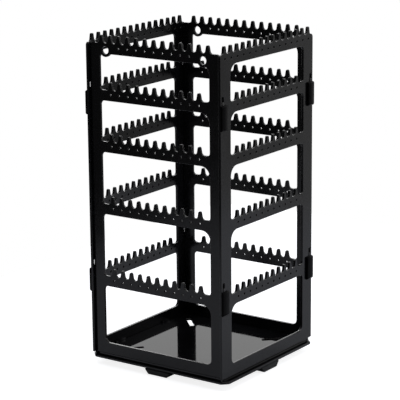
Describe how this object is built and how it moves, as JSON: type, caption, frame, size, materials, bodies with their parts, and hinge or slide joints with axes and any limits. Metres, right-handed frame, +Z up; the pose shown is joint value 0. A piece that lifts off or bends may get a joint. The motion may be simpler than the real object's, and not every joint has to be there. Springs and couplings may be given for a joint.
{
  "type": "rotating display rack",
  "caption": "Square open tower of comb panels for hanging earrings and necklaces, on a tray that turns on a low cross-shaped base.",
  "frame": {"origin": "on the surface that the rack stands on, under the axis of the tower", "axes": "+Z up the axis of rotation; -Y is the front hook panel, +X the right socket panel"},
  "size_m": [0.1568, 0.154, 0.3181],
  "materials": {
    "panel_plastic": "satin moulded black ABS",
    "tray_plastic": "glossy moulded black ABS",
    "base_plastic": "satin moulded black ABS",
    "pad_rubber": "matt rubber",
    "ball_steel": "polished bearing steel",
    "cage_nylon": "natural nylon",
    "zinc_steel": "zinc-plated steel"
  },
  "bodies": {
    "root": {"swivel_base": "base_plastic", "front_pad": "pad_rubber", "back_pad": "pad_rubber", "left_pad": "pad_rubber", "right_pad": "pad_rubber"},
    "tower": {"front_panel": "panel_plastic", "back_panel": "panel_plastic", "left_panel": "panel_plastic", "right_panel": "panel_plastic", "tray": "tray_plastic", "pivot_washer": "zinc_steel", "pivot_screw": "zinc_steel"},
    "cage": {"ball_cage": "cage_nylon", "bearing_balls": "ball_steel"}
  },
  "joints": [
    {"name": "tower_spin", "type": "hinge", "parent": "root", "child": "tower", "pos_m": [0, 0, 0.0073], "axis": [0, 0, 1], "continuous": true},
    {"name": "cage_spin", "type": "hinge", "parent": "root", "child": "cage", "pos_m": [0, 0, 0.0073], "axis": [0, 0, 1], "continuous": true}
  ],
  "couplings": [
    {"joint": "cage_spin", "follows": "tower_spin", "ratio": 0.5}
  ]
}
